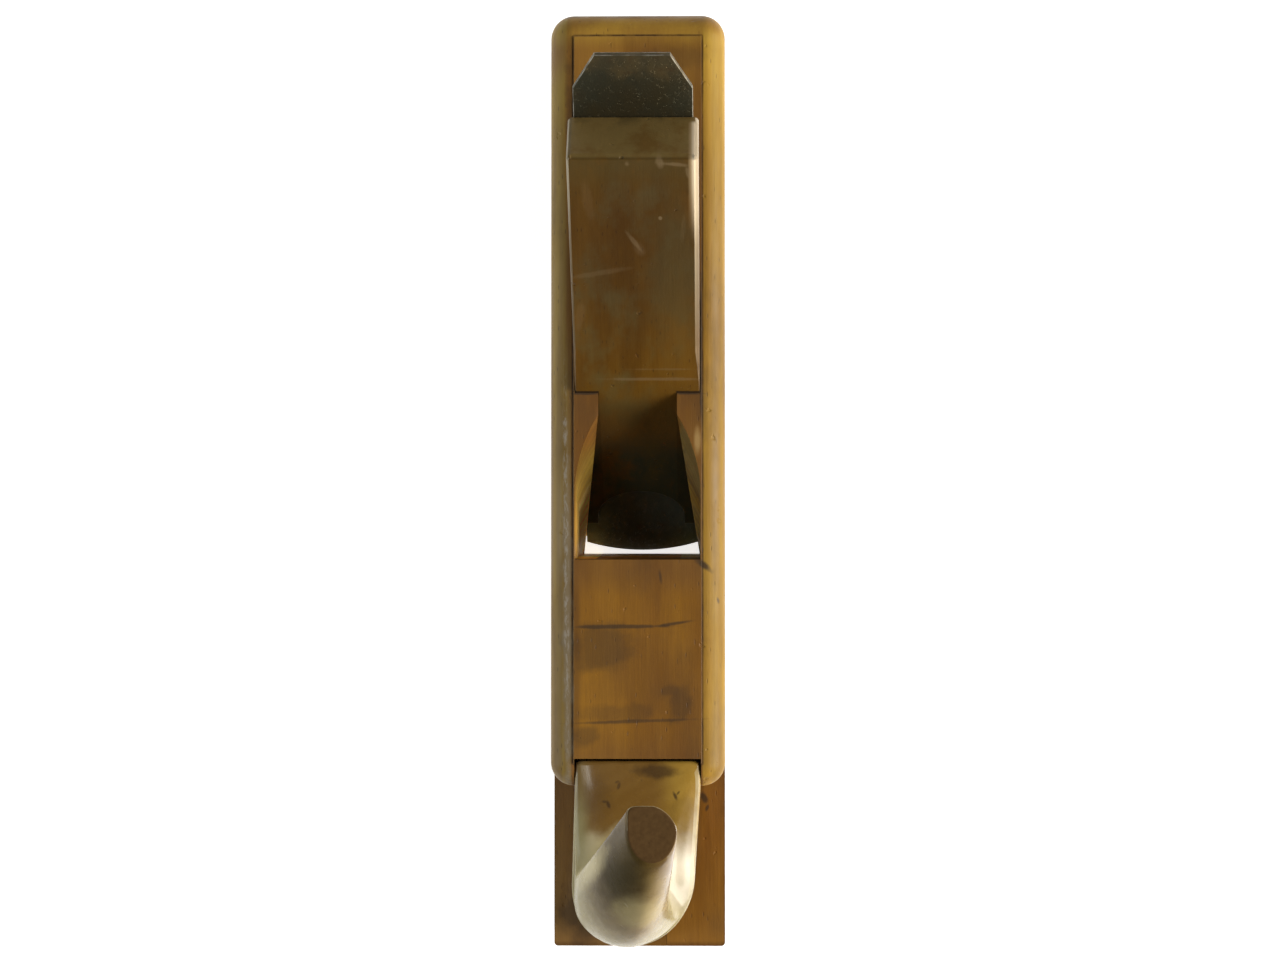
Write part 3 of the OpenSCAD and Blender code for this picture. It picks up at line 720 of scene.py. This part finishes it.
def wedge_wood():
    finish, shader, place = new_finish("wedge_wood")
    centred = put(place.id_data, "Mapping", {"Vector": place, "Location": (0, -edge_y, -edge_lift)}).outputs[0]
    bed_place = put(place.id_data, "Mapping", {"Vector": centred, "Rotation": (-bed_angle, 0, 0)}).outputs[0]
    wood, fibre, _ = beech(bed_place, (0.096, 0.045, 0.0050), (0.056, 0.024, 0.0026), (0.026, 0.012, 0.003),
                           (9, -60), seed=40)
    across, up, out = directions(bed_place)
    for low, high, strength, colour in (
            # down in the throat: paler, then painted shade, near black, toward the lower end
            (80, 40, 0.9, (0.110, 0.068, 0.026)), (56, 40, 0.85, (0.027, 0.038, 0.033)),
            # toward the struck end, and on its arris
            (128, 147, 0.25, (0.075, 0.053, 0.012)), (137, 146, 0.6, (0.068, 0.045, 0.013)),
            (146.8, 147.68, 0.8, (0.206, 0.142, 0.049))):
        wood = tint(ramp(up, low, high, 0, strength), wood, colour)
    olive = mottle(bed_place, 12, (1, 1.8, 1), 5.0, 0.6, seed=43)
    wood = tint(ramp(olive, 0.5, 0.7, 0, 0.6), wood, (0.070, 0.052, 0.020))
    wood = tint(ramp(olive, 0.48, 0.32, 0, 0.5), wood, (0.110, 0.046, 0.004))
    ragged = ragged_edge(bed_place, 5, 45)
    shade = stain(bed_place, ragged, (10, 112, 15), (6, 22, 8), 0, 0.6)
    wood = tint(product(shade, 0.5), wood, (0.060, 0.046, 0.017))
    wood = toned(wood, [((1.4, 1.4, 1.2), (up, 110, 76))])

    wear_and_painted_light = wear_and_light_marks(shader)
    rub = product(wear_and_painted_light, ramp(mottle(place, 6, seed=46), 0.3, 0.6, 0.2, 0.8))
    # rubbed wood and a painted highlight on the arrises, paler toward the struck end
    pale = product(wear_and_painted_light, total(ramp(up, 55, 172), ramp(up, 118, 134, 0, 0.3)))
    rub_and_highlight_colour = tint(ramp(up, 118, 140), (0.52, 0.42, 0.28), (0.72, 0.62, 0.46))
    wood = tint(reckon("MAXIMUM", product(rub, 0.3), pale), wood, rub_and_highlight_colour)
    # painted highlight: a bright band on the right chamfer, where it catches the light from the right
    bright_edge = within((up, 120, 146, 0, 0.8), (out, 1.5, 3), (across, 15.78, 15.70))
    wood = tint(within(bright_edge, (across, 13.1, 14.0)), wood, (0.34, 0.24, 0.13))
    wood = tint(within(bright_edge, (across, 13.8, 14.6)), wood, (0.72, 0.60, 0.43))
    # the right arris darker on its outermost part; painted shade on the arris between the front and the struck end,
    # where more light falls
    wood = toned(wood, (
        ((0.60, 0.58, 0.56), wear_and_painted_light, (across, 14.7, 15.4)),
        ((0.78, 0.79, 0.80), (up, 146.4, 147.0), (up, 147.69, 147.6))))
    wood = stained(wood, (0.20, 0.14, 0.075), bed_place, ragged, (
        # bruises of the hammer on the struck end
        ((10.2, 145.2, 15), (3.4, 0.6, 6), -6, 0.42), ((6.6, 146.0, 15), (0.9, 1.6, 6), 10, 0.36),
        ((13.2, 142.8, 15), (0.5, 1.6, 6), 8, 0.35), ((-1.3, 145.4, 15), (0.6, 0.8, 6), 15, 0.3),
        # scuffs down its front
        ((-11, 134, 15), (1.2, 5.5, 6), 6, 0.08), ((6.5, 128.6, 15), (0.45, 0.6, 6), 0, 0.55),
        ((-9, 111, 15), (6.5, 0.8, 6), 12, 0.14), ((-14, 96, 15), (1.0, 5, 6), -8, 0.12),
        ((12, 125, 15), (0.5, 4, 6), -4, 0.08), ((0.2, 120.8, 15), (0.55, 3.6, 6), 30, 0.3),
        ((1.4, 118.5, 15), (1.2, 2.4, 6), 20, 0.14),
        # rubbed lines just above the abutments
        ((4, 75.6, 15), (11, 0.5, 6), 0, 0.35), ((8, 79, 15), (9, 0.3, 6), 0, 0.2)))
    # dirt and painted shade in the throat's corners, and painted shade at the wedge's seat
    throat_dirt_and_shade = (0.014, 0.009, 0.006)
    wood = corner_dirt_and_shade(wood, throat_dirt_and_shade, 0.004, 0.7, 0.2, 0.3)
    # painted shade on the wedge's front where it goes down into the throat between the abutments
    seat_shade = within((up, 71.3, 70.9), (reckon("ABSOLUTE", across), 9.6, 10.0), (up, 68.5, 70.3, 0.25, 0.9))
    drive(shader, "Base Color", tint(seat_shade, wood, throat_dirt_and_shade))

    handling = mottle(bed_place, 8, (1, 2.5, 1), 6.0, 0.7, seed=48)
    drive(shader, "Roughness", ramp(handling, 0.3, 0.7, 0.32, 0.55))
    dents = ramp(mottle(bed_place, 3.0, detail=2.0, seed=49), 0.31, 0.22, 0.0, -2.5)
    relieve(shader, total(product(fibre, 0.4), dents, product(handling, 2.0)), 0.00008)
    shader.inputs["Specular IOR Level"].default_value = 0.1
    return finish


wedge_solid = bmesh.new()
wear_and_light_layer = wedge_solid.faces.layers.float.new("wear_and_painted_light")
outline = wedge_outline()
inward = inward_steps(outline)
front_rings = [wedge_ring(wedge_solid, outline, inward, 1, step) for step in range(arris_steps + 1)]
back_rings = [wedge_ring(wedge_solid, outline, inward, -1, step) for step in range(arris_steps + 1)]
stack = back_rings[::-1] + front_rings
for level, (lower, upper) in enumerate(zip(stack, stack[1:])):
    for i, (x, v, _, _) in enumerate(outline):
        j = (i + 1) % len(outline)
        face = wedge_solid.faces.new((lower[i], lower[j], upper[j], upper[i]))
        face[wear_and_light_layer] = wedge_rub_and_highlight(x, v, level)
for cap in (stack[0], stack[-1]):
    edges = [wedge_solid.edges.get((cap[i], cap[(i + 1) % len(cap)])) for i in range(len(cap))]
    bmesh.ops.triangle_fill(wedge_solid, edges=edges, use_beauty=True)
bmesh.ops.recalc_face_normals(wedge_solid, faces=wedge_solid.faces)
wedge = finished_piece("wedge", wedge_solid, 50)
wedge.data.materials.append(wedge_wood())
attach(wedge, "wedge")
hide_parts("wedge")


# Iron. A forged wrought iron blade, black with age above the stock. Its top corners are clipped, and the edges
# that the hammer strikes are filed back and worn bright.
iron_ease, bevel_top = 0.00018, 0.004


def old_iron(name, dark, brown, seed):
    """Forged metal gone dark, with its hammer marks, pits and rust, in a frame that lies along the bed."""
    finish, shader, place = new_finish(name)
    along = put(place.id_data, "Mapping", {"Vector": place, "Rotation": (-bed_angle, 0, 0)}).outputs[0]
    cloud = mottle(along, 9, (1, 1.6, 1), 6.0, 0.62, seed=seed)
    pits = ramp(mottle(along, 0.9, detail=3.0, rough=0.6, seed=seed + 1), 0.42, 0.3)
    rust = ramp(mottle(along, 5, detail=6.0, rough=0.7, seed=seed + 2), 0.58, 0.7)
    metal = tint(ramp(cloud, 0.35, 0.68), dark, brown)
    metal = tint(product(rust, 0.35), metal, (0.075, 0.034, 0.014))
    return finish, shader, place, along, cloud, pits, metal


def wrought_iron():
    finish, shader, place, along, cloud, pits, metal = old_iron(
        "wrought_iron", (0.068, 0.056, 0.030), (0.145, 0.105, 0.046), 60)
    up = directions(along)[1]
    # painted shade and reflection: the iron darker below its top, next to the wedge's end
    below_top = total(up, product(cloud, 10.0))
    metal = tint(ramp(below_top, 155, 151.5, 0, 0.6), metal, (0.034, 0.038, 0.026))
    bright_edge = product(wear_and_light_marks(shader), ramp(mottle(place, 4, seed=64), 0.35, 0.6, 0.15, 0.75))
    drive(shader, "Base Color", tint(bright_edge, metal, (0.34, 0.32, 0.27)))
    shader.inputs["Metallic"].default_value = 0.8
    drive(shader, "Roughness", ramp(cloud, 0.3, 0.7, 0.62, 0.42))
    relieve(shader, total(product(pits, -1.0), product(cloud, 2.5)), 0.00007)
    return finish


iron_solid = merged_copy("iron_body")
ease_edges(iron_solid, iron_ease, lambda edge: min(v.co.z for v in edge.verts) > bevel_top)
iron = finished_piece("iron_body", iron_solid)
iron.data.materials.append(wrought_iron())
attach(iron, "iron")
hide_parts("iron_body")


# Steel plate. A thin hard plate forge-welded to the iron's face. Its end is ground to a rounded bevel for
# taking thick shavings, bright at the edge from the stone and grey further up.
def plate_steel():
    finish, shader, place, along, cloud, pits, metal = old_iron(
        "plate_steel", (0.115, 0.135, 0.12), (0.16, 0.165, 0.145), 80)
    above_sole, off_face = directions(place)[2], directions(along)[2]
    ground = within((above_sole, 4.2, 2.6), (off_face, 11.96, 11.8))
    stone = mottle(along, 0.25, (30, 1, 1), 2.0, seed=84)
    metal = tint(within(ground, (stone, 0.2, 0.8, 0.7, 1.0)), metal, (0.50, 0.49, 0.46))
    drive(shader, "Base Color", metal)
    shader.inputs["Metallic"].default_value = 0.45
    drive(shader, "Roughness", reckon("SUBTRACT", ramp(cloud, 0.3, 0.7, 0.5, 0.34), product(ground, 0.12)))
    relieve(shader, total(product(pits, -1.0), product(stone, 0.4)), 0.00005)
    return finish


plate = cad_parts["iron_steel"]
plate.data.materials.clear()
plate.data.materials.append(plate_steel())
